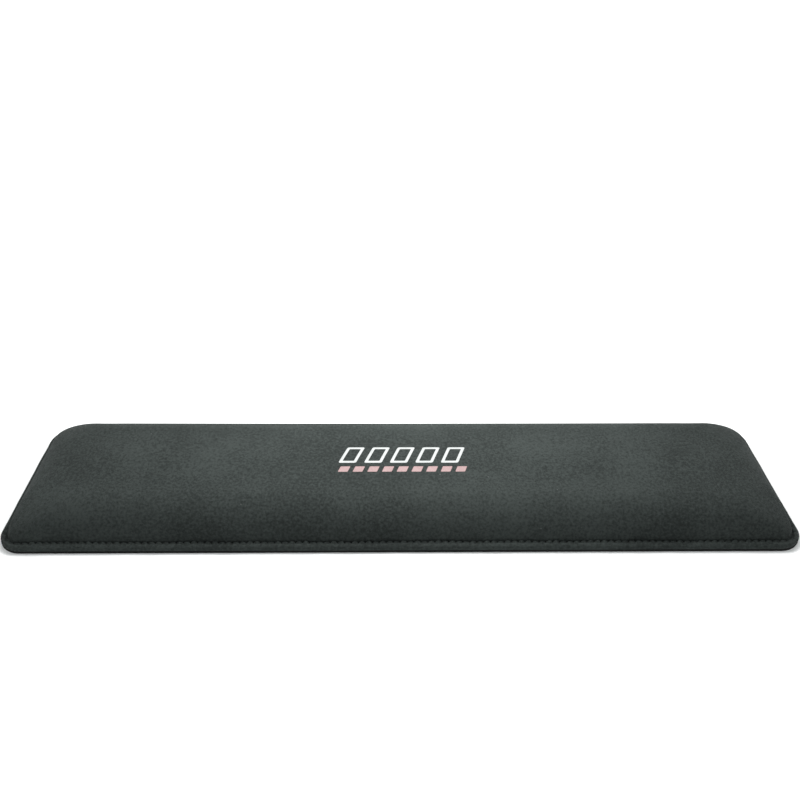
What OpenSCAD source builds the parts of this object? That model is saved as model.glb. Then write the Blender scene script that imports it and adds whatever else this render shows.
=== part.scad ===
// Padded wrist rest for a full-size keyboard.
// Frame: origin at the centre of the underside, +X to the right, +Y towards the keyboard, +Z up.
// Every layer is a stack of rounded-rectangle rings, each ring a little further in than the last.

/* [Overall size] */
// Width across the keyboard, edge to edge
rest_w = 484; // [300:1:560]
// Depth from the front edge to the keyboard edge
rest_d = 116; // [90:1:140]
// Height of the middle of the pad
rest_h = 25; // [18:0.5:30]
// Corner radius of the outer edge in plan
corner_r = 15.5; // [12:0.5:17]

/* [Base sheet] */
// Thickness of the non-slip rubber sheet
base_t = 1.6; // [1.5:0.1:3]

/* [Sewn border] */
// Distance from the outer edge in to the line of stitches
border_w = 5; // [4.5:0.1:8]
// Corner radius of the line of stitches in plan
seam_corner_r = 6; // [5:0.5:10]
// Height of the padded border above the base sheet
border_h = 3; // [2.6:0.1:4]
// How far the stitches pull the border down
seam_dip = 0.8; // [0.4:0.1:1]

/* [Pad] */
// Horizontal run of the rounded side, from the stitches to the flat top
side_run = 24; // [14:0.2:26]
// Squareness of the rounded side: 2 is an ellipse, more is squarer
side_power = 2.04; // [2:0.02:2.6]
// Corner radius of the pad's upper rings in plan
pad_corner_r = 26; // [20:1:30]
// Extra height of the crown along the middle
crown = 1.2; // [0.4:0.1:1.5]

/* [Layers] */
// Thickness of the knitted cover
fabric_t = 0.8; // [0.6:0.1:1]
// Thickness of the sponge laminated behind the cover
backing_t = 2; // [1.5:0.1:2.4]

/* [Threads] */
// Diameter of the upper thread of the lockstitch
needle_thread_d = 0.7; // [0.5:0.05:0.8]
// Diameter of the lower thread of the lockstitch
bobbin_thread_d = 0.5; // [0.4:0.05:0.6]

/* [Printed mark] */
// Thickness of the heat-transfer print
print_t = 0.12; // [0.1:0.02:0.3]
// Width of the printed mark
mark_w = 81; // [60:1:100]
// Number of slanted outlines in the white row
outlines = 5; // [3:1:7]
// Number of slanted dashes in the red row
dashes = 9; // [6:1:14]

/* [Hidden] */

edge_gap = 0.2;                  // the cover stops this far inside the edge of the base sheet
roll_r = 2;                      // rounding of the border's outer edge
groove_flat = 0.9;               // width of the flat floor under the upper thread
thread_groove_w = 1;             // width of the channel for the lower thread
thread_groove_h = 0.7;           // depth of that channel
corner_growth = 4;               // how fast the rings' corner radius grows above the stitches
arc_steps = 4;                   // steps round the border's outer edge
dip_steps = 3;                   // steps down into the stitch groove
side_steps = 14;                 // steps up the rounded side
crown_steps = 4;                 // steps from the side to the middle line
corner_steps = 9;                // points round each corner of a ring
slab_facets = 64;                // facets of a full circle in the base sheet and along a thread's corners
thread_facets = 24;              // facets round a thread

border_top = base_t + border_h;
seam_z = border_top - seam_dip;
half_w = rest_w / 2;
half_d = rest_d / 2;
spine_gap = 0.3;                 // half width of the last ring, which closes the top
least_straight = 0.05;           // half the shortest straight left between two corners of a ring

// ---- profiles: lists of [inset from the outer edge, height, corner radius] ----

// Corner radius of the ring at an inset
function ring_radius(inset) =
    let(growth = pad_corner_r - seam_corner_r,
        grown = seam_corner_r + growth * (1 - exp(-corner_growth * (inset - border_w) / growth)),
        wanted = inset <= border_w ? corner_r + (seam_corner_r - corner_r) * inset / border_w : grown)
    min(wanted, half_d - inset - least_straight);

function with_radius(points) = [for (p = points) [p[0], p[1], ring_radius(p[0])]];

// The border from its lower outer edge over the roll and down to the stitch groove,
// with a skin of thickness t taken off
function border_profile(t) =
    let(r = roll_r - t,
        cx = edge_gap + roll_r,
        cz = border_top - roll_r,
        groove = border_w - groove_flat / 2)
    concat([[edge_gap + t, base_t]],
           [for (k = [0 : arc_steps]) let(a = 90 * k / arc_steps) [cx - r * cos(a), cz + r * sin(a)]],
           [for (k = [1 : dip_steps]) let(s = k / dip_steps)
                [cx + (groove - cx) * s, border_top - t - seam_dip * (1 - cos(180 * s)) / 2]]);

// The rounded side and the crown: it rises from foot_z at foot_inset to top_z
function pad_profile(foot_inset, foot_z, run, top_z) =
    let(inner = half_d - spine_gap)
    concat([for (k = [0 : side_steps]) let(a = 90 * k / side_steps)
                [foot_inset + run * (1 - pow(cos(a), 2 / side_power)),
                 foot_z + (top_z - foot_z) * pow(sin(a), 2 / side_power)]],
           [for (k = [1 : crown_steps]) let(s = k / crown_steps)
                [foot_inset + run + (inner - foot_inset - run) * s, top_z + crown * (1 - pow(1 - s, 2))]]);

// Outer face of the cover (t = 0) and its inner face (t = fabric_t)
function cover_profile(t) =
    let(foot = border_w + groove_flat / 2)
    concat(border_profile(t), pad_profile(foot + t, seam_z - t, side_run - t, rest_h - crown - t));

// Top face of the foam core, which is the inner face of the backing
skin_t = fabric_t + backing_t;
core_foot = border_w + groove_flat / 2 + skin_t;
function core_profile() = pad_profile(core_foot, base_t, side_run - skin_t, rest_h - crown - skin_t);

// ---- solids from profiles ----

// Points of one rounded-rectangle ring
function ring(inset, z, r) =
    let(cx = half_w - inset - r, cy = half_d - inset - r)
    [for (q = [0 : 3]) for (k = [0 : corner_steps - 1])
        let(a = 90 * (q + k / (corner_steps - 1)),
            sx = (q == 0 || q == 3) ? 1 : -1,
            sy = (q < 2) ? 1 : -1)
        [sx * cx + r * cos(a), sy * cy + r * sin(a), z]];

// Closed solid whose rings run from the first, at the bottom, to the last, which is capped
module ring_stack(profile) {
    n = 4 * corner_steps;
    last = len(profile) - 1;
    points = [for (p = profile) each ring(p[0], p[1], p[2])];
    walls = [for (i = [0 : last - 1]) for (j = [0 : n - 1])
                let(a = i * n + j, b = i * n + (j + 1) % n)
                each [[a, a + n, b], [b, a + n, b + n]]];
    bottom = [[for (j = [0 : n - 1]) j]];
    top = [[for (j = [n - 1 : -1 : 0]) last * n + j]];
    polyhedron(points, concat(walls, bottom, top), convexity = 6);
}

// Thin skin: an outer stack of rings, turned back at the middle into an inner stack
module ring_skin(outer, inner) {
    n = 4 * corner_steps;
    outer_rings = [for (p = outer) each ring(p[0], p[1], p[2])];
    inner_rings = [for (p = inner) each ring(p[0], p[1], p[2])];
    m = len(outer);
    k = len(inner);
    outer_walls = [for (i = [0 : m - 2]) for (j = [0 : n - 1])
                    let(a = i * n + j, b = i * n + (j + 1) % n)
                    each [[a, a + n, b], [b, a + n, b + n]]];
    inner_walls = [for (i = [0 : k - 2]) for (j = [0 : n - 1])
                    let(a = (m + i) * n + j, b = (m + i) * n + (j + 1) % n)
                    each [[a, b, a + n], [b, b + n, a + n]]];
    rim = [for (j = [0 : n - 1])
                let(a = j, b = (j + 1) % n, c = m * n + j, d = m * n + (j + 1) % n)
                each [[a, b, c], [b, d, c]]];
    outer_cap = [[for (j = [n - 1 : -1 : 0]) (m - 1) * n + j]];
    inner_cap = [[for (j = [0 : n - 1]) (m + k - 1) * n + j]];
    polyhedron(concat(outer_rings, inner_rings),
               concat(outer_walls, inner_walls, rim, outer_cap, inner_cap), convexity = 8);
}

// Flat slab whose outline is inset from the outer edge, with corners of radius r
module rounded_slab(inset, r, z, h) {
    cx = half_w - inset - r;
    cy = half_d - inset - r;
    translate([-cx - r, -cy, z]) cube([2 * (cx + r), 2 * cy, h]);
    translate([-cx, -cy - r, z]) cube([2 * cx, 2 * (cy + r), h]);
    for (sx = [-1, 1], sy = [-1, 1])
        translate([sx * cx, sy * cy, z]) cylinder(r = r, h = h, $fn = slab_facets);
}

// Round thread of diameter d along the line of stitches, its centre at height z
module thread_loop(z, d) {
    r = seam_corner_r;
    cx = half_w - border_w - r;
    cy = half_d - border_w - r;
    for (s = [-1, 1]) {
        translate([-cx, s * (cy + r), z]) rotate([0, 90, 0]) cylinder(d = d, h = 2 * cx, $fn = thread_facets);
        translate([s * (cx + r), cy, z]) rotate([90, 0, 0]) cylinder(d = d, h = 2 * cy, $fn = thread_facets);
    }
    for (q = [0 : 3])
        translate([(q == 0 || q == 3) ? cx : -cx, q < 2 ? cy : -cy, z])
            rotate([0, 0, 90 * q])
                rotate_extrude(angle = 90, $fn = slab_facets)
                    translate([r, 0]) circle(d = d, $fn = thread_facets);
}

// ---- printed mark ----

lean = 0.35;                     // sideways lean of every shape for each unit of its height
white_y = -5.5;                  // front edge of the white row
white_h = 15.6;                  // depth of the white row
white_gap = 5;                   // gap between two outlines
stroke = 1.9;                    // line width of an outline
red_y = -13.7;                   // front edge of the red row
red_h = 4.9;                     // depth of the red row
red_gap = 3;                     // gap between two dashes

// Parallelogram with its front left corner at the origin
module slanted(w, h) {
    polygon([[0, 0], [w, 0], [w + lean * h, h], [lean * h, h]]);
}

module slanted_outline(w, h) {
    side = stroke * sqrt(1 + lean * lean);
    difference() {
        slanted(w, h);
        translate([side + lean * stroke, stroke]) slanted(w - 2 * side, h - 2 * stroke);
    }
}

module white_row() {
    pitch = (mark_w - lean * white_h + white_gap) / outlines;
    for (k = [0 : outlines - 1])
        translate([k * pitch - mark_w / 2, white_y]) slanted_outline(pitch - white_gap, white_h);
}

module red_row() {
    pitch = (mark_w - lean * red_h + red_gap) / dashes;
    for (k = [0 : dashes - 1])
        translate([k * pitch - mark_w / 2, red_y]) slanted(pitch - red_gap, red_h);
}

// A film of thickness print_t on the crown, cut to the outline given as a child
module film() {
    difference() {
        intersection() {
            linear_extrude(height = rest_h + 2) children();
            translate([0, 0, print_t]) ring_stack(with_radius(cover_profile(0)));
        }
        ring_stack(with_radius(cover_profile(0)));
    }
}

// ---- sub-parts ----

// Die-cut rubber sheet, with a channel underneath for the lower thread
module base_sheet() {
    reach = thread_groove_w / 2;
    color([0.05, 0.05, 0.05]) difference() {
        rounded_slab(0, corner_r, 0, base_t);
        difference() {
            rounded_slab(border_w - reach, seam_corner_r + reach, -1, 1 + thread_groove_h);
            rounded_slab(border_w + reach, seam_corner_r - reach, -2, 3 + thread_groove_h);
        }
    }
}

// Slow-rebound foam block, rounded all over its upper side
module foam_core() {
    color([0.75, 0.74, 0.70]) ring_stack(with_radius(core_profile()));
}

// Sponge laminated behind the cover: it fills the border and lines the pad
module cover_backing_foam() {
    color([0.22, 0.22, 0.23]) ring_skin(with_radius(cover_profile(fabric_t)), with_radius(core_profile()));
}

// Knitted cover: over the border, down into the stitch groove and over the pad
module cover_fabric() {
    color([0.13, 0.14, 0.14]) ring_skin(with_radius(cover_profile(0)), with_radius(cover_profile(fabric_t)));
}

// Upper thread, lying in the groove that it pulls into the cover
module needle_thread() {
    color([0.04, 0.04, 0.04]) thread_loop(seam_z + needle_thread_d / 2, needle_thread_d);
}

// Lower thread, sunk into the underside of the base sheet
module bobbin_thread() {
    color([0.04, 0.04, 0.04]) thread_loop(thread_groove_h - bobbin_thread_d / 2, bobbin_thread_d);
}

module print_white() {
    color([0.90, 0.91, 0.90]) film() white_row();
}

module print_red() {
    color([0.80, 0.52, 0.51]) film() red_row();
}

base_sheet();
foam_core();
cover_backing_foam();
cover_fabric();
needle_thread();
bobbin_thread();
print_white();
print_red();
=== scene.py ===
import math

import bpy
import numpy as np
from mathutils import Matrix, Vector
from mathutils.bvhtree import BVHTree
from mathutils.kdtree import KDTree


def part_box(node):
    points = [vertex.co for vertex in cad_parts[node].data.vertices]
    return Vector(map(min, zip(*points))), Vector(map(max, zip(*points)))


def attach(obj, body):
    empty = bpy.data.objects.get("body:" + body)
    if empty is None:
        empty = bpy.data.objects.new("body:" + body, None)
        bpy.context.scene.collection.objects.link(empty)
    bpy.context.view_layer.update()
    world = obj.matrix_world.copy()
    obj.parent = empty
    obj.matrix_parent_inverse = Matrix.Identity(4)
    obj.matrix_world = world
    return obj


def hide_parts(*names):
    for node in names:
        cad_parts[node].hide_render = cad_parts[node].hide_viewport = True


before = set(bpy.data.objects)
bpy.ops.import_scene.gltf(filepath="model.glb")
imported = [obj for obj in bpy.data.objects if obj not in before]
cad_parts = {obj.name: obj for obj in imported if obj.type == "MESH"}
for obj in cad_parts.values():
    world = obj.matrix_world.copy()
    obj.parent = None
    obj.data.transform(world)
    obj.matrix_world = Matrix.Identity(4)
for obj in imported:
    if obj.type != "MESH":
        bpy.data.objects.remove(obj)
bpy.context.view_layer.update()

# All shapes are worked out in millimetres, in the CAD frame, and turned to metres in make_piece().
MM = 0.001

# ---- sizes that come from the frame ----


def box_mm(node):
    low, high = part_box(node)
    return np.array(low) / MM, np.array(high) / MM


_, sheet_high = box_mm("base_sheet")
_, cover_high = box_mm("cover_fabric")
thread_low, thread_high = box_mm("needle_thread")
lower_thread_low, lower_thread_high = box_mm("bobbin_thread")
HALF_W, HALF_D, BASE_T = sheet_high
TOP_Z = cover_high[2]
THREAD_D = thread_high[2] - thread_low[2]
SEAM_IN = HALF_W - thread_high[0] + THREAD_D / 2
SEAM_Z = thread_low[2]
LOWER_THREAD_D = lower_thread_high[2] - lower_thread_low[2]
CHANNEL_H = lower_thread_high[2]

# ---- sizes that repeat the CAD's ----

CORNER_R = 15.5
SEAM_R = 6
PAD_CORNER_R = 26
CORNER_GROWTH = 4
SIDE_RUN = 24
SIDE_POWER = 2.04
CROWN = 1.2
BORDER_H = 3
ROLL_R = 2
EDGE_GAP = 0.2
GROOVE_FLAT = 0.9
FABRIC_T = 0.8
BACKING_T = 2
CHANNEL_W = 1

BORDER_TOP = BASE_T + BORDER_H
PAD_FOOT = SEAM_IN + GROOVE_FLAT / 2
CROWN_IN = PAD_FOOT + SIDE_RUN
FLAT_Z = TOP_Z - CROWN

# ---- sewing ----

STITCH = 4.15
LONG_STITCHES = round(2 * (HALF_W - SEAM_IN - SEAM_R) / STITCH)
SHORT_STITCHES = round(2 * (HALF_D - SEAM_IN - SEAM_R) / STITCH)
CORNER_STITCHES = round(math.pi / 2 * SEAM_R / STITCH)
STITCHES = 2 * (LONG_STITCHES + SHORT_STITCHES) + 4 * CORNER_STITCHES
# Stations in each stitch along the straight stretches, and how many times more there are round a corner.
FINE = 8
COARSE = 2
CORNER_FINER = 3

# ---- loops round the rest ----


class Stations:
    """Places round the rest. Each keeps its direction and its phase in its stitch on every ring."""

    def __init__(self, per_stitch):
        self.corner = CORNER_STITCHES * per_stitch * CORNER_FINER
        self.long = LONG_STITCHES * per_stitch
        self.short = SHORT_STITCHES * per_stitch
        signs = np.array([(1, 1), (-1, 1), (-1, -1), (1, -1)], float)
        centres, angles, sewn = [], [], []
        first = 0
        for q in range(4):
            here, after = signs[q], signs[(q + 1) % 4]
            t = np.arange(self.corner) / self.corner
            centres.append(np.tile(here, (len(t), 1)))
            angles.append((q + t) * math.pi / 2)
            sewn.append(first + CORNER_STITCHES * t)
            first += CORNER_STITCHES
            along = LONG_STITCHES if q % 2 == 0 else SHORT_STITCHES
            t = np.arange(along * per_stitch) / (along * per_stitch)
            centres.append(here + (after - here) * t[:, None])
            angles.append(np.full(len(t), (q + 1) * math.pi / 2))
            sewn.append(first + along * t)
            first += along
        self.centre = np.concatenate(centres)
        angle = np.concatenate(angles)
        sewn = np.concatenate(sewn)
        self.out = np.stack([np.cos(angle), np.sin(angle)], 1)
        self.count = len(angle)
        self.stitch = np.floor(sewn + 1e-6).astype(int)
        self.phase = np.maximum(sewn - self.stitch, 0)
        self.turn = sewn / STITCHES

    def ring(self, inset, radius):
        """Plan places on the rounded rectangle at that inset with that corner radius."""
        middle = np.array([HALF_W - inset - radius, HALF_D - inset - radius])
        return self.centre * middle + self.out * radius

    def waves(self, lengths, seed):
        """A smooth closed wave between about -1 and 1 with features of those lengths."""
        rng = np.random.default_rng(seed)
        loop = STITCHES * STITCH
        total = np.zeros(self.count)
        for length in lengths:
            turns = max(1, round(loop / length))
            total += np.sin(2 * math.pi * (turns * self.turn + rng.random()))
        return total / len(lengths)

    def each_stitch(self, low, high, seed):
        """A random number for each stitch, repeated at its stations."""
        values = np.random.default_rng(seed).uniform(low, high, STITCHES)
        return values[self.stitch]


def ring_radius(inset):
    if inset <= SEAM_IN:
        return CORNER_R + (SEAM_R - CORNER_R) * inset / SEAM_IN
    growth = PAD_CORNER_R - SEAM_R
    grown = SEAM_R + growth * (1 - math.exp(-CORNER_GROWTH * (inset - SEAM_IN) / growth))
    return min(grown, HALF_D - inset - 0.05)


def side(foot, foot_z, run, top_z, steps):
    """The pad's rounded side, as insets and heights from its foot to the flat top."""
    a = np.linspace(0, math.pi / 2, steps + 1)
    insets = foot + run * (1 - np.maximum(np.cos(a), 0) ** (2 / SIDE_POWER))
    heights = foot_z + (top_z - foot_z) * np.sin(a) ** (2 / SIDE_POWER)
    return list(zip(insets, heights))


SIDE_STEPS = 26
FINE_SIDE = 6           # rows of the side that keep the fine stations
CORE_STEPS = 16
ROLL_STEPS, DIP_STEPS = 6, 8


def border_rows():
    """The sewn border: up from the rubber sheet, over the roll and down into the groove of stitches."""
    middle, middle_z = EDGE_GAP + ROLL_R, BORDER_TOP - ROLL_R
    groove = SEAM_IN - GROOVE_FLAT / 2
    rows = [(EDGE_GAP, BASE_T), (EDGE_GAP, BASE_T + 0.5), (EDGE_GAP, middle_z)]
    for k in range(1, ROLL_STEPS + 1):
        a = k * math.pi / (2 * ROLL_STEPS)
        rows.append((middle - ROLL_R * math.cos(a), middle_z + ROLL_R * math.sin(a)))
    for k in range(1, DIP_STEPS + 1):
        s = k / DIP_STEPS
        dip = (BORDER_TOP - SEAM_Z) * (1 - math.cos(math.pi * s)) / 2
        rows.append((middle + (groove - middle) * s, BORDER_TOP - dip))
    return rows + [(SEAM_IN, SEAM_Z)]


def pad_rows():
    return side(PAD_FOOT, SEAM_Z, SIDE_RUN, FLAT_Z, SIDE_STEPS)


def crown_height(xy):
    """How much the crown lifts the pad's flat top at those places."""
    half = HALF_D - CROWN_IN
    reach = np.array([HALF_W, HALF_D]) - CROWN_IN
    s = np.clip((reach - np.abs(xy)) / half, 0, 1)
    s = s * s * (3 - 2 * s)
    return CROWN * s[..., 0] * s[..., 1]


def bump(x, middle, width):
    return np.exp(-(((x - middle) / width) ** 2))


# What the sewing and the stretch do to the cover. Waves are lists of wavelengths; the last number of
# each random draw is its seed.
WANDER, WANDER_REACH = 0.38, 3.2          # how far the line of stitches strays, and the reach of that
WANDER_WAVES = [210, 118, 67, 39]
PUFF_RISE, PUFF_SINK = 1.5, 0.2           # height of the cloth's puff between two needle holes, and its start
PUFF_IN = 0.42                            # how far the puff leans over the stitches
PUFF_AT, PUFF_REACH = 0.95, 0.75          # its distance from the line of stitches, and its half width
PAD_OVER, PAD_PUFF = 0.34, 0.16           # how far the foot of the pad bulges over the stitches
PAD_AT, PAD_REACH = 1.4, 1.6              # the height of that bulge above the stitches, and its half height
GROOVE_DEEPER, HOLE_DEEPER = 0.1, 0.6     # how far the thread and the needle pull the groove down
CORNER_LIFT = 0.3                         # how much less it is pulled down round a corner
GROOVE_REACH, NEEDLE_REACH = 0.6, 0.55
ROLL_RIPPLE, ROLL_AT, ROLL_REACH = 0.16, 2.6, 2.2
ROLL_WAVES = [31, 19, 12.5, 8.3]
EDGE_RIPPLE, EDGE_REACH = 0.14, 2.5
EDGE_WAVES = [90, 41, 23]
GATHER, GATHER_AT, GATHER_REACH = 0.22, 3.5, 4.0
GATHER_WAVES = [8.3, 6.2, 12.5]
GATHER_BLUR = 9                           # stations over which the gathers of a corner fade out


def sewn_row(at, inset, z):
    """One ring of the cover: the plain ring, then what the stitches and the stretch of the cloth do to it."""
    plan = at.ring(inset, ring_radius(inset))
    z = z + crown_height(plan)
    inward = np.zeros(at.count)

    inward += WANDER * bump(inset, SEAM_IN, WANDER_REACH) * at.waves(WANDER_WAVES, 1)
    corner = 2 * np.abs(at.out[:, 0] * at.out[:, 1])

    puff = np.sin(math.pi * at.phase) ** 0.8 * at.each_stitch(0.7, 1.25, 2)
    hole = bump(np.minimum(at.phase, 1 - at.phase) * STITCH, 0, NEEDLE_REACH)
    on_band = bump(inset, SEAM_IN - PUFF_AT, PUFF_REACH)
    on_pad = bump(z, SEAM_Z + PAD_AT, PAD_REACH) * (inset > SEAM_IN)
    z = z + (PUFF_RISE * puff - PUFF_SINK) * on_band * (1 - 0.6 * corner)
    inward += PUFF_IN * puff * on_band - (PAD_OVER + PAD_PUFF * puff) * on_pad * (1 - corner)
    deeper = (GROOVE_DEEPER + HOLE_DEEPER * hole) * (1 - corner) - CORNER_LIFT * corner
    z = z - deeper * bump(inset, SEAM_IN, GROOVE_REACH)

    on_roll = bump(inset, ROLL_AT, ROLL_REACH)
    z = z + ROLL_RIPPLE * on_roll * at.waves(ROLL_WAVES, 3) * (z > BASE_T + 0.6)
    inward += EDGE_RIPPLE * bump(inset, 0, EDGE_REACH) * at.waves(EDGE_WAVES, 4) * (z > BASE_T + 0.3)

    turning = (np.abs(at.out).min(1) > 0.02).astype(float)
    blur = np.ones(GATHER_BLUR) / GATHER_BLUR
    gather = np.convolve(np.tile(turning, 3), blur, "same")[at.count:2 * at.count]
    climb = bump(z, SEAM_Z + GATHER_AT, GATHER_REACH) * (inset > SEAM_IN)
    inward += GATHER * gather * climb * at.waves(GATHER_WAVES, 5)

    plan = plan - at.out * inward[:, None]
    return np.column_stack([plan, np.broadcast_to(z, (at.count,))])


# ---- meshes ----


class Shell:
    """Collects rings of points and the faces between them."""

    def __init__(self):
        self.points = []
        self.faces = []
        self.flat = []
        self.size = 0

    def ring(self, points, flat=None):
        start = self.size
        self.points.append(points)
        self.flat.append(points[:, :2] if flat is None else flat)
        self.size += len(points)
        return np.arange(start, self.size)

    def strip(self, low, high, flip=False):
        """Quads between two rings with the same number of points."""
        a, b = low, np.roll(low, -1)
        c, d = np.roll(high, -1), high
        quads = np.stack([a, b, c, d], 1)
        self.faces.extend((quads[:, ::-1] if flip else quads).tolist())

    def bridge(self, fine, coarse, flip=False):
        """Triangles between a ring and one with a whole number of times fewer points."""
        ratio = len(fine) // len(coarse)
        for j in range(len(coarse)):
            here, after = coarse[j], coarse[(j + 1) % len(coarse)]
            turn = ratio // 2
            fan = [fine[(j * ratio + i) % len(fine)] for i in range(ratio + 1)]
            made = [(fan[i], fan[i + 1], here if i < turn else after) for i in range(ratio)]
            made.append((fan[turn], after, here))
            for face in made:
                face = [int(i) for i in face]
                self.faces.append(face[::-1] if flip else face)

    def patch(self, ring, height, at, flip=False):
        """Fills a ring with a grid whose corners lie halfway round the ring's own corners."""
        points = np.concatenate(self.points)
        half = at.corner // 2
        nx = at.long + 2 * half
        ny = at.short + 2 * half
        loop = np.roll(ring, -half)
        rear, left = loop[:nx + 1], loop[nx:nx + ny + 1]
        front = loop[nx + ny:2 * nx + ny + 1]
        right = np.append(loop[2 * nx + ny:], loop[0])
        rear, left = rear[::-1], left[::-1]
        u = np.linspace(0, 1, nx + 1)[:, None, None]
        v = np.linspace(0, 1, ny + 1)[None, :, None]
        f, r = points[front][:, None], points[rear][:, None]
        lft, rgt = points[left][None], points[right][None]
        grid = (1 - v) * f + v * r + (1 - u) * lft + u * rgt
        grid -= (1 - u) * ((1 - v) * f[0] + v * r[0]) + u * ((1 - v) * f[-1] + v * r[-1])
        grid[..., 2] = height(grid[..., :2])
        index = np.zeros((nx + 1, ny + 1), int)
        index[:, 0], index[:, -1] = front, rear
        index[0, :], index[-1, :] = left, right
        inner = self.ring(grid[1:-1, 1:-1].reshape(-1, 3))
        index[1:-1, 1:-1] = inner.reshape(nx - 1, ny - 1)
        quads = np.stack([index[:-1, :-1], index[1:, :-1], index[1:, 1:], index[:-1, 1:]], -1)
        quads = quads.reshape(-1, 4)
        self.faces.extend((quads[:, ::-1] if flip else quads).tolist())


def make_piece(name, points, faces, flat=None):
    """A mesh object in metres that rides with the rest. flat gives each point's place on the flat cloth."""
    mesh = bpy.data.meshes.new(name)
    mesh.from_pydata((np.asarray(points) * MM).tolist(), [], faces)
    mesh.validate()
    mesh.shade_smooth()
    if flat is not None:
        layer = mesh.uv_layers.new(name="cloth")
        corner = np.zeros(len(mesh.loops), int)
        mesh.loops.foreach_get("vertex_index", corner)
        layer.data.foreach_set("uv", (np.asarray(flat)[corner] * MM).ravel())
    piece = bpy.data.objects.new(name, mesh)
    bpy.context.scene.collection.objects.link(piece)
    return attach(piece, "root")


def offset_inwards(rows, depth):
    """Rows of the skin moved in along its normals."""
    along = np.roll(rows, -1, 1) - np.roll(rows, 1, 1)
    up = np.gradient(rows, axis=0)
    normal = np.cross(along, up)
    normal /= np.maximum(np.linalg.norm(normal, axis=2, keepdims=True), 1e-9)
    return rows - normal * depth


fine, coarse, sparse = Stations(FINE), Stations(COARSE), Stations(1)
BORDER, PAD = border_rows(), pad_rows()


def flat_places(at, rows):
    """Where each row's points lie on the flat cloth: the rows' lengths laid out beyond the flat top."""
    rows = np.array(rows)
    steps = np.linalg.norm(np.diff(rows, axis=0), axis=1)
    beyond = np.append(np.cumsum(steps[::-1])[::-1], 0)
    return [at.ring(CROWN_IN - d, PAD_CORNER_R + d) for d in beyond]


def top_height(lowered):
    return lambda xy: FLAT_Z - lowered + crown_height(xy)


def plain_ring(at, inset, z):
    plan = at.ring(inset, ring_radius(inset))
    return np.column_stack([plan, z + crown_height(plan)])


# ---- how the cover bellies out over the foam, from a cloth simulation ----

SWELL_FRAMES = 20
SWELL_PRESSURE = 1
SWELL_MOST = 0.7        # how far the place that moves most may go
SWELL_NEAR = 8          # places of the trial cloth that move each point
SWELL_BLUR = 3.5        # how fast their say fades with distance


def swell():
    """Cloth held along the stitches and blown up: rest places, and how far each moved, scaled."""
    shell = Shell()
    rings = [shell.ring(plain_ring(sparse, *row)) for row in PAD[::2]]
    for a, b in zip(rings, rings[1:]):
        shell.strip(a, b)
    shell.patch(rings[-1], top_height(0), sparse)
    rest = np.concatenate(shell.points)

    mesh = bpy.data.meshes.new("cloth_trial")
    mesh.from_pydata((rest * MM).tolist(), [], shell.faces)
    trial = bpy.data.objects.new("cloth_trial", mesh)
    scene = bpy.context.scene
    scene.collection.objects.link(trial)
    trial.vertex_groups.new(name="sewn").add(rings[0].tolist(), 1.0, "REPLACE")
    cloth = trial.modifiers.new("cloth", "CLOTH")
    cloth.settings.vertex_group_mass = "sewn"
    cloth.settings.use_pressure = True
    cloth.settings.uniform_pressure_force = SWELL_PRESSURE
    cloth.settings.effector_weights.gravity = 0
    cloth.collision_settings.use_collision = False
    cloth.point_cache.frame_end = SWELL_FRAMES
    for number in range(1, SWELL_FRAMES + 1):
        scene.frame_set(number)
    settled = trial.evaluated_get(bpy.context.evaluated_depsgraph_get()).data
    now = np.zeros(len(settled.vertices) * 3)
    settled.vertices.foreach_get("co", now)
    bpy.data.objects.remove(trial)
    bpy.data.meshes.remove(mesh)
    scene.frame_set(1)

    moved = now.reshape(-1, 3) / MM - rest
    reach = np.linalg.norm(moved, axis=1).max()
    return rest, moved * min(1, SWELL_MOST / reach)


def make_swollen():
    """A function that moves points with the cloth near them. The underside stays flat."""
    rest, moved = swell()
    tree = KDTree(len(rest))
    for i, place in enumerate(rest):
        tree.insert(place, i)
    tree.balance()

    def swollen(points):
        shift = np.zeros_like(points)
        for i, place in enumerate(points):
            near = tree.find_n(place, SWELL_NEAR)
            index = [n[1] for n in near]
            weight = np.exp(-((np.array([n[2] for n in near]) - near[0][2]) / SWELL_BLUR) ** 2)
            shift[i] = weight @ moved[index] / weight.sum()
        above = np.clip((points[:, 2:] - BASE_T) / (SEAM_Z - BASE_T), 0, 1)
        return points + shift * above

    return swollen


swollen = make_swollen()


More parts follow.
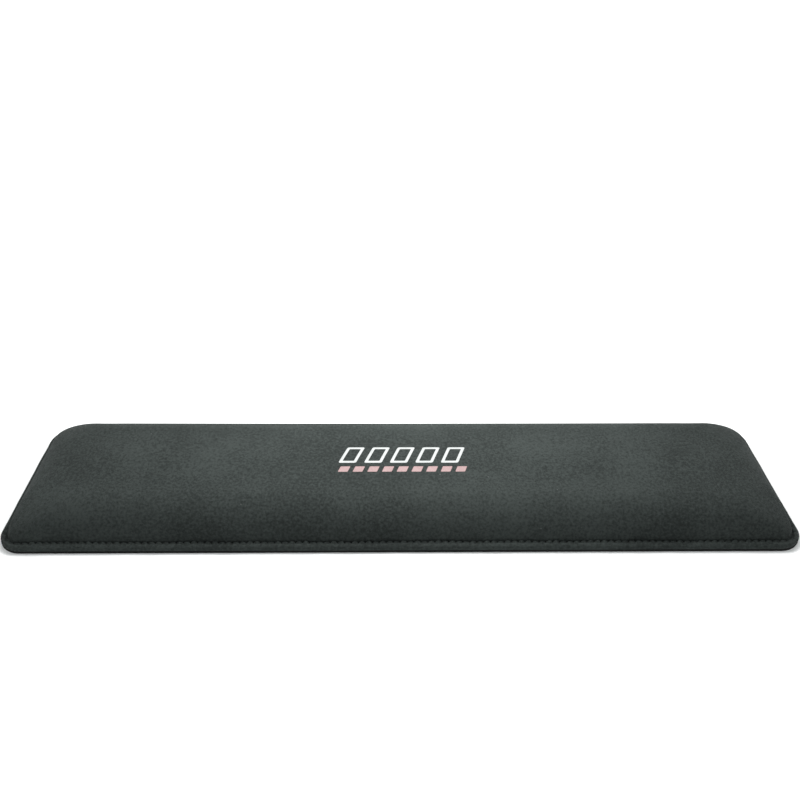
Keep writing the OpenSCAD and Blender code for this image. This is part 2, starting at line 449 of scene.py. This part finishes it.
def make_cover():
    shell = Shell()
    rows = BORDER + PAD
    split = len(BORDER) + FINE_SIDE
    flat_fine, flat_coarse, flat_sparse = (flat_places(at, rows) for at in (fine, coarse, sparse))
    rings = [shell.ring(sewn_row(fine, *rows[k]), flat_fine[k]) for k in range(split)]
    for a, b in zip(rings, rings[1:]):
        shell.strip(a, b)
    upper = [shell.ring(sewn_row(coarse, *rows[k]), flat_coarse[k]) for k in range(split, len(rows))]
    shell.bridge(rings[-1], upper[0])
    for a, b in zip(upper, upper[1:]):
        shell.strip(a, b)
    shell.patch(upper[-1], top_height(0), coarse)

    skin = np.array([sewn_row(sparse, *row) for row in rows])
    inside = offset_inwards(skin, FABRIC_T)
    inside[:, :, 2] = np.maximum(inside[:, :, 2], BASE_T)
    kept = [*range(3, len(BORDER), 3), *range(len(BORDER), len(rows) - 1, 2), len(rows) - 1]
    lip_in = EDGE_GAP + FABRIC_T
    lip = shell.ring(np.column_stack([fine.ring(lip_in, ring_radius(lip_in)), np.full(fine.count, BASE_T)]))
    shell.strip(lip, rings[0])
    inner = [shell.ring(inside[k], flat_sparse[k]) for k in kept]
    shell.bridge(lip, inner[0], flip=True)
    for a, b in zip(inner, inner[1:]):
        shell.strip(a, b, flip=True)
    shell.patch(inner[-1], top_height(FABRIC_T), sparse, flip=True)
    points = swollen(np.concatenate(shell.points))
    cover = make_piece("knitted_cover", points, shell.faces, np.concatenate(shell.flat))
    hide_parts("cover_fabric")
    return cover


CORE_GAP = 0.05         # between the foam block and the sponge
COVER_GAP = 0.06        # between the sponge and the cover


def core_rows():
    """The foam block's rounded side, which is also the inner face of the sponge behind the cover."""
    skin_t = FABRIC_T + BACKING_T
    return side(PAD_FOOT + skin_t, BASE_T, SIDE_RUN - skin_t, FLAT_Z - skin_t, CORE_STEPS)


def make_backing():
    shell = Shell()
    skin = np.array([sewn_row(sparse, *row) for row in BORDER + PAD])
    outside = offset_inwards(skin, FABRIC_T + COVER_GAP)
    outside[:, :, 2] = np.maximum(outside[:, :, 2], BASE_T + 0.02)
    kept = [*range(4, len(BORDER), 2), *range(len(BORDER), len(outside) - 1, 2), len(outside) - 1]
    outer = [shell.ring(outside[k]) for k in kept]
    first = shell.ring(np.column_stack([outside[kept[0]][:, :2], np.full(sparse.count, BASE_T)]))
    outer.insert(0, first)
    for a, b in zip(outer, outer[1:]):
        shell.strip(a, b)
    shell.patch(outer[-1], top_height(FABRIC_T + COVER_GAP), sparse)
    inner = [shell.ring(plain_ring(sparse, *row)) for row in core_rows()]
    shell.strip(inner[0], first)
    for a, b in zip(inner, inner[1:]):
        shell.strip(a, b, flip=True)
    shell.patch(inner[-1], top_height(FABRIC_T + BACKING_T), sparse, flip=True)
    backing = make_piece("backing_sponge", swollen(np.concatenate(shell.points)), shell.faces)
    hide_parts("cover_backing_foam")
    return backing


def make_core():
    shell = Shell()
    rows = [(inset + CORE_GAP, z - CORE_GAP) for inset, z in core_rows()]
    rows[0] = (rows[0][0], BASE_T)
    rings = [shell.ring(plain_ring(sparse, *row)) for row in rows]
    for a, b in zip(rings, rings[1:]):
        shell.strip(a, b)
    shell.patch(rings[-1], top_height(FABRIC_T + BACKING_T + CORE_GAP), sparse)
    shell.patch(rings[0], lambda xy: np.full(xy.shape[:-1], BASE_T), sparse, flip=True)
    core = make_piece("foam_block", swollen(np.concatenate(shell.points)), shell.faces)
    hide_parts("foam_core")
    return core


GRIP_PITCH = 4.2
GRIP_DEPTH = 0.22
GRIP_FADE = 3
SHEET_STATIONS = 4
SHEET_TOP_IN = 0.8      # inset of the ring that closes the sheet's top


def grip_height(xy):
    """Low lozenges under the sheet, their tops on the desk."""
    x, y = xy[..., 0] * math.pi / GRIP_PITCH, xy[..., 1] * math.pi / GRIP_PITCH
    lozenge = np.abs(np.sin(x + y) * np.sin(x - y))
    inset = np.minimum(HALF_W - np.abs(xy[..., 0]), HALF_D - np.abs(xy[..., 1]))
    fade = np.clip((inset - SEAM_IN - CHANNEL_W) / GRIP_FADE, 0, 1)
    return GRIP_DEPTH * fade * (1 - lozenge) ** 1.6


def make_base():
    """The rubber sheet: a rolled-off edge, the lower thread's channel, and a grip pattern underneath."""
    at = Stations(SHEET_STATIONS)
    shell = Shell()
    near, far = SEAM_IN - CHANNEL_W / 2, SEAM_IN + CHANNEL_W / 2
    rows = [(0.3, BASE_T), (0.08, BASE_T - 0.06), (0, BASE_T - 0.25), (0, 0.35), (0.09, 0.09), (0.35, 0),
            (near - 0.12, 0), (near, 0.1), (near, CHANNEL_H), (far, CHANNEL_H), (far, 0.1), (far + 0.12, 0)]
    rings = []
    for inset, z in rows:
        radius = ring_radius(inset) if inset < 1 else SEAM_R + SEAM_IN - inset
        rings.append(shell.ring(np.column_stack([at.ring(inset, radius), np.full(at.count, z)])))
    for a, b in zip(rings, rings[1:]):
        shell.strip(a, b, flip=True)
    shell.patch(rings[-1], grip_height, at, flip=True)
    top_plan = sparse.ring(SHEET_TOP_IN, ring_radius(SHEET_TOP_IN))
    top = shell.ring(np.column_stack([top_plan, np.full(sparse.count, BASE_T)]))
    shell.bridge(rings[0], top)
    shell.patch(top, lambda xy: np.full(xy.shape[:-1], BASE_T), sparse)
    base = make_piece("rubber_sheet", np.concatenate(shell.points), shell.faces)
    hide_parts("base_sheet")
    return base


# ---- sewing threads ----

THREAD_STATIONS = 12
THREAD_SIDES = 8
THREAD_TWIST = 2.1      # length of one turn of the ply
HOLE_HALF = 0.5         # half width of a needle hole, along the stitches


def make_thread(name, node, middle, at, radius):
    """A closed twisted thread along a line of middle points."""
    theta = np.arange(THREAD_SIDES) * 2 * math.pi / THREAD_SIDES
    along = at.turn * STITCHES * STITCH
    twist = 2 * math.pi * along / THREAD_TWIST
    reach = radius * (0.93 + 0.15 * np.cos(2 * (theta[None] - twist[:, None])))
    out = np.column_stack([at.out, np.zeros(at.count)])
    up = np.array([0, 0, 1.0])
    sideways = (reach * np.cos(theta))[..., None] * out[:, None]
    upwards = (reach * np.sin(theta))[..., None] * up
    rings = middle[:, None] + sideways + upwards
    index = np.arange(at.count * THREAD_SIDES).reshape(at.count, THREAD_SIDES)
    after, beside = np.roll(index, -1, 0), np.roll(index, -1, 1)
    both = np.roll(after, -1, 1)
    faces = np.stack([index, after, both, beside], -1).reshape(-1, 4).tolist()
    thread = make_piece(name, rings.reshape(-1, 3), faces)
    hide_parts(node)
    return thread


def make_needle_thread():
    at = Stations(THREAD_STATIONS)
    middle = sewn_row(at, SEAM_IN, SEAM_Z)
    hole = bump(np.minimum(at.phase, 1 - at.phase) * STITCH, 0, HOLE_HALF)
    middle[:, 2] = SEAM_Z - 0.2 - 0.95 * hole
    return make_thread("needle_stitches", "needle_thread", middle, at, THREAD_D / 2)


def make_lower_thread():
    at = Stations(THREAD_STATIONS)
    plan = at.ring(SEAM_IN, SEAM_R)
    hole = bump(np.minimum(at.phase, 1 - at.phase) * STITCH, 0, HOLE_HALF)
    middle = np.column_stack([plan, CHANNEL_H - LOWER_THREAD_D / 2 - 0.03 + 0.6 * hole])
    return make_thread("lower_stitches", "bobbin_thread", middle, at, LOWER_THREAD_D / 2)


# ---- printed mark ----

LEAN = 0.35
STROKE = 1.9
OUTLINES, OUTLINE_GAP = 5, 5
DASHES, DASH_GAP = 9, 3
OUTER_ROUND, INNER_ROUND, DASH_ROUND = 1.3, 0.5, 0.6
CORNER_POINTS, EDGE_POINTS = 5, 15
FILM_T = 0.12
FILM_SUNK = -0.06       # the film's lower face, just inside the knit
ABOVE_ALL = 0.1         # metres; a height well above the rest
# Cross-sections of the film: share of the way from the outer loop to the inner one, and share of FILM_T.
BAND_SECTION = [(0, 0), (0, 0.4), (0.035, 0.85), (0.12, 1), (0.5, 1), (0.88, 1), (0.965, 0.85),
                (1, 0.4), (1, 0)]
SOLID_SECTION = [(0, 0), (0, 0.4), (0.03, 0.85), (0.1, 1), (0.45, 1), (0.8, 1)]


def slanted_loop(x, y, w, h, radius):
    """A parallelogram with rounded corners, as points anticlockwise from its front left corner."""
    corners = np.array([(x, y), (x + w, y), (x + w + LEAN * h, y + h), (x + LEAN * h, y + h)])
    loop = []
    for k in range(4):
        here, before, after = corners[k], corners[k - 1], corners[(k + 1) % 4]
        start = here + radius * (before - here) / np.linalg.norm(before - here)
        end = here + radius * (after - here) / np.linalg.norm(after - here)
        for t in np.linspace(0, 1, CORNER_POINTS):
            loop.append((1 - t) ** 2 * start + 2 * t * (1 - t) * here + t ** 2 * end)
        leave = after + radius * (here - after) / np.linalg.norm(here - after)
        for t in np.linspace(0, 1, EDGE_POINTS)[1:-1]:
            loop.append(end + t * (leave - end))
    return np.array(loop)


def surface_z(tree, xy):
    """Height of the cover at those places."""
    down = Vector((0, 0, -1))
    return np.array([tree.ray_cast(Vector((x * MM, y * MM, ABOVE_ALL)), down)[0].z / MM for x, y in xy])


def make_film(name, node, loops, tree):
    """Film with soft edges, lying on the cover. Each shape has an outer loop and an inner loop or middle."""
    points, faces = [], []
    for outer, inner in loops:
        size = len(outer)
        rings = SOLID_SECTION if len(inner) == 1 else BAND_SECTION
        first = sum(len(p) for p in points)
        for share, height in rings:
            plan = outer * (1 - share) + inner * share
            lift = FILM_T * height if height > 0 else FILM_SUNK
            points.append(np.column_stack([plan, surface_z(tree, plan) + lift]))
        index = np.arange(first, first + size * len(rings)).reshape(len(rings), size)
        pairs = list(zip(index, index[1:]))
        if len(inner) > 1:
            pairs.append((index[-1], index[0]))
        for a, b in pairs:
            faces.extend(np.stack([a, np.roll(a, -1), np.roll(b, -1), b], 1).tolist())
        if len(inner) == 1:
            for ring, lift, flip in ((index[-1], FILM_T, False), (index[0], FILM_SUNK, True)):
                middle = sum(len(p) for p in points)
                points.append(np.column_stack([inner, surface_z(tree, inner) + lift]))
                for a, b in zip(ring, np.roll(ring, -1)):
                    faces.append([int(b), int(a), middle] if flip else [int(a), int(b), middle])
    film = make_piece(name, np.concatenate(points), faces)
    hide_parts(node)
    return film


def make_mark(cover):
    mesh = cover.data
    tree = BVHTree.FromPolygons([v.co for v in mesh.vertices], [p.vertices for p in mesh.polygons])
    low, high = box_mm("print_white")
    deep = high[1] - low[1]
    pitch = (high[0] - low[0] - LEAN * deep + OUTLINE_GAP) / OUTLINES
    beside = STROKE * math.sqrt(1 + LEAN * LEAN)
    outlines = []
    for k in range(OUTLINES):
        x, w = low[0] + k * pitch, pitch - OUTLINE_GAP
        outer = slanted_loop(x, low[1], w, deep, OUTER_ROUND)
        inner = slanted_loop(x + beside + LEAN * STROKE, low[1] + STROKE,
                             w - 2 * beside, deep - 2 * STROKE, INNER_ROUND)
        outlines.append((outer, inner))
    white = make_film("white_outlines", "print_white", outlines, tree)

    low, high = box_mm("print_red")
    deep = high[1] - low[1]
    pitch = (high[0] - low[0] - LEAN * deep + DASH_GAP) / DASHES
    dashes = []
    for k in range(DASHES):
        outer = slanted_loop(low[0] + k * pitch, low[1], pitch - DASH_GAP, deep, DASH_ROUND)
        dashes.append((outer, outer.mean(0, keepdims=True)))
    red = make_film("red_dashes", "print_red", dashes, tree)
    return white, red


# ---- materials ----


class Nodes:
    """Short names for building one material's node tree."""

    def __init__(self, name):
        self.material = bpy.data.materials.new(name)
        self.material.use_nodes = True
        self.tree = self.material.node_tree
        self.shader = self.tree.nodes["Principled BSDF"]

    def add(self, kind, inputs=None, **settings):
        node = self.tree.nodes.new("ShaderNode" + kind)
        for key, value in settings.items():
            setattr(node, key, value)
        for key, value in (inputs or {}).items():
            self.set(node.inputs[key], value)
        return node

    def set(self, socket, value):
        if isinstance(value, bpy.types.NodeSocket):
            self.tree.links.new(value, socket)
        else:
            socket.default_value = value

    def math(self, operation, a, b=0.0, c=0.0):
        node = self.add("Math", operation=operation)
        for socket, value in zip(node.inputs, (a, b, c)):
            self.set(socket, value)
        return node.outputs[0]

    def noise(self, where, per_mm, detail=3.0, roughness=0.55):
        inputs = {"Vector": where, "Scale": per_mm / MM, "Detail": detail, "Roughness": roughness}
        return self.add("TexNoise", inputs).outputs["Fac"]

    def ramp(self, value, low, high, smooth=True):
        node = self.add("MapRange", {"Value": value, "From Min": low, "From Max": high})
        node.interpolation_type = "SMOOTHSTEP" if smooth else "LINEAR"
        return node.outputs["Result"]

    def mix(self, factor, a, b):
        node = self.add("Mix", data_type="RGBA")
        self.set(node.inputs[0], factor)
        self.set(node.inputs[6], a)
        self.set(node.inputs[7], b)
        return node.outputs[2]

    def bump(self, height, distance_mm, strength=1.0, under=None):
        node = self.add("Bump", {"Height": height, "Distance": distance_mm * MM, "Strength": strength})
        if under is not None:
            self.set(node.inputs["Normal"], under)
        return node.outputs["Normal"]

    def finish(self, **inputs):
        for key, value in inputs.items():
            self.set(self.shader.inputs[key.replace("_", " ")], value)
        return self.material


def grey(level, green=0.0):
    return (level * (1 - green), level * (1 + green * 0.55), level, 1)


def knit_height(n, cloth, wale, course):
    """Height of a plain jersey: columns of V-shaped loops."""
    place = n.add("SeparateXYZ", {"Vector": cloth})
    across = n.math("DIVIDE", place.outputs["X"], wale * MM)
    along = n.math("DIVIDE", place.outputs["Y"], course * MM)
    beside = n.math("ABSOLUTE", n.math("SUBTRACT", n.math("FRACT", across), 0.5))
    loop = n.math("MULTIPLY_ADD", beside, 1.3, along)
    loop = n.math("SINE", n.math("MULTIPLY", loop, 2 * math.pi))
    column = n.math("SUBTRACT", 1.0, n.math("POWER", n.math("MULTIPLY", beside, 2.0), 5.0))
    return n.math("MULTIPLY", n.math("MULTIPLY_ADD", loop, 0.3, 0.7), column)


def knit_material():
    n = Nodes("black_jersey_knit")
    coords = n.add("TexCoord")
    cloth = n.add("UVMap", uv_map="cloth").outputs["UV"]
    where = coords.outputs["Object"]
    fine_mottle = n.noise(where, 0.62, 4.0, 0.75)
    broad_mottle = n.noise(where, 0.022, 2.0)
    tone = n.math("MULTIPLY_ADD", fine_mottle, 0.75, n.math("MULTIPLY", broad_mottle, 0.25))
    cloth_colour = n.mix(n.ramp(tone, 0.36, 0.64), grey(0.0150, 0.13), grey(0.039, 0.11))
    lint = n.ramp(n.noise(where, 0.9, 1.0), 0.80, 0.86)
    colour = n.mix(lint, cloth_colour, grey(0.16, 0.02))
    knit = n.bump(knit_height(n, cloth, 0.62, 0.5), 0.16, 0.7)
    normal = n.bump(fine_mottle, 0.12, 0.5, under=knit)
    return n.finish(Base_Color=colour, Normal=normal, Roughness=0.88, Sheen_Weight=0.05,
                    Sheen_Roughness=0.45, Sheen_Tint=(0.80, 0.86, 0.84, 1), Specular_IOR_Level=0.12)


def rubber_material():
    n = Nodes("black_rubber")
    where = n.add("TexCoord").outputs["Object"]
    grain = n.noise(where, 1.6, 3.0, 0.6)
    bloom = n.noise(where, 0.03, 2.0)
    colour = n.mix(n.ramp(bloom, 0.35, 0.7), grey(0.004), grey(0.007, 0.02))
    rough = n.math("MULTIPLY_ADD", grain, 0.2, 0.62)
    return n.finish(Base_Color=colour, Roughness=rough, Normal=n.bump(grain, 0.06, 0.6),
                    Specular_IOR_Level=0.12)


def thread_material():
    n = Nodes("black_polyester_thread")
    where = n.add("TexCoord").outputs["Object"]
    strands = n.noise(where, 3.2, 2.0)
    colour = n.mix(n.ramp(strands, 0.3, 0.7), grey(0.010), grey(0.024, 0.03))
    return n.finish(Base_Color=colour, Roughness=0.5, Normal=n.bump(strands, 0.05, 0.6),
                    Sheen_Weight=0.15, Sheen_Roughness=0.3)


def film_material(name, colour, worn):
    """Heat-transfer print: the knit shows through as tiny pits and the colour is a little uneven."""
    n = Nodes(name)
    where = n.add("TexCoord").outputs["Object"]
    pits = n.noise(where, 1.4, 3.0, 0.6)
    cloudy = n.noise(where, 0.12, 2.0)
    tone = n.math("MULTIPLY_ADD", pits, 0.6, n.math("MULTIPLY", cloudy, 0.4))
    return n.finish(Base_Color=n.mix(n.ramp(tone, 0.32, 0.62), worn, colour), Roughness=0.55,
                    Normal=n.bump(pits, 0.05, 0.5))


def foam_material(name, light, dark, cells_per_mm):
    """Open-cell foam: round pores at one scale, cells_per_mm to the millimetre."""
    n = Nodes(name)
    where = n.add("TexCoord").outputs["Object"]
    cells = n.add("TexVoronoi", {"Vector": where, "Scale": cells_per_mm / MM}).outputs["Distance"]
    pores = n.ramp(cells, 0.12, 0.5)
    cloudy = n.noise(where, 0.05, 3.0)
    # Painted shade: the pores take the dark tone, standing in for the shade inside them; their bump is real
    colour = n.mix(pores, dark, light)
    colour = n.mix(n.math("MULTIPLY", cloudy, 0.35), colour, dark)
    return n.finish(Base_Color=colour, Roughness=0.9, Normal=n.bump(pores, 0.15, 0.8),
                    Specular_IOR_Level=0.2)


def floor_material():
    n = Nodes("pale_floor")
    where = n.add("TexCoord").outputs["Object"]
    tone = n.ramp(n.noise(where, 0.002, 2.0), 0.3, 0.7)
    return n.finish(Base_Color=n.mix(tone, (0.93, 0.93, 0.93, 1), (0.95, 0.95, 0.95, 1)), Roughness=0.8,
                    Specular_IOR_Level=0.1)


def paint(piece, material):
    piece.data.materials.clear()
    piece.data.materials.append(material)
    return piece


# ---- the set ----


def make_floor():
    size = 6000
    corners = [(-size, -size, 0), (size, -size, 0), (size, size, 0), (-size, size, 0)]
    mesh = bpy.data.meshes.new("floor")
    mesh.from_pydata([tuple(c * MM for c in p) for p in corners], [], [(0, 1, 2, 3)])
    floor = bpy.data.objects.new("floor", mesh)
    bpy.context.scene.collection.objects.link(floor)
    paint(floor, floor_material())


def area_light(name, place, aim, width, depth, power):
    light = bpy.data.lights.new(name, "AREA")
    light.shape = "RECTANGLE"
    light.size = width
    light.size_y = depth
    light.energy = power
    lamp = bpy.data.objects.new(name, light)
    bpy.context.scene.collection.objects.link(lamp)
    lamp.location = place
    lamp.visible_camera = False
    lamp.rotation_euler = (Vector(aim) - Vector(place)).to_track_quat("-Z", "Y").to_euler()


def make_lights():
    area_light("overhead_softbox", (0, 0.09, 0.27), (0, 0, 0.02), 0.2, 0.12, 1.4)
    area_light("background_softbox", (0.0, 2.6, 2.2), (0, 2.9, 0), 4.0, 2.0, 85)
    world = bpy.data.worlds.new("studio")
    world.use_nodes = True
    world.node_tree.nodes["Background"].inputs["Color"].default_value = (0.97, 1.0, 1.0, 1)
    world.node_tree.nodes["Background"].inputs["Strength"].default_value = 0.7
    bpy.context.scene.world = world


def make_camera():
    data = bpy.data.cameras.new("camera")
    data.sensor_width = 36
    data.lens = 36.41
    data.clip_start = 0.01
    camera = bpy.data.objects.new("camera", data)
    bpy.context.scene.collection.objects.link(camera)
    down, turned, rolled = (math.radians(a) for a in (35.58, 1.28, 0.74))
    aim = Matrix.Rotation(-turned, 4, "Z") @ Matrix.Rotation(math.pi / 2 - down, 4, "X")
    aim = aim @ Matrix.Rotation(rolled, 4, "Z")
    camera.matrix_world = Matrix.Translation((-0.0109, -0.3967, 0.3540)) @ aim
    bpy.context.scene.camera = camera


cover = make_cover()
white, red = make_mark(cover)
paint(cover, knit_material())
paint(white, film_material("white_print", (0.345, 0.355, 0.35, 1), (0.28, 0.29, 0.285, 1)))
paint(red, film_material("pale_red_print", (0.243, 0.145, 0.144, 1), (0.196, 0.112, 0.11, 1)))
paint(make_base(), rubber_material())
thread = thread_material()
paint(make_needle_thread(), thread)
paint(make_lower_thread(), thread)
paint(make_backing(), foam_material("dark_sponge", (0.05, 0.05, 0.052, 1), (0.02, 0.02, 0.021, 1), 1.6))
paint(make_core(), foam_material("cream_memory_foam", (0.72, 0.68, 0.56, 1), (0.46, 0.42, 0.32, 1), 1.1))
make_floor()
make_lights()
make_camera()
bpy.context.scene.view_settings.view_transform = "Standard"
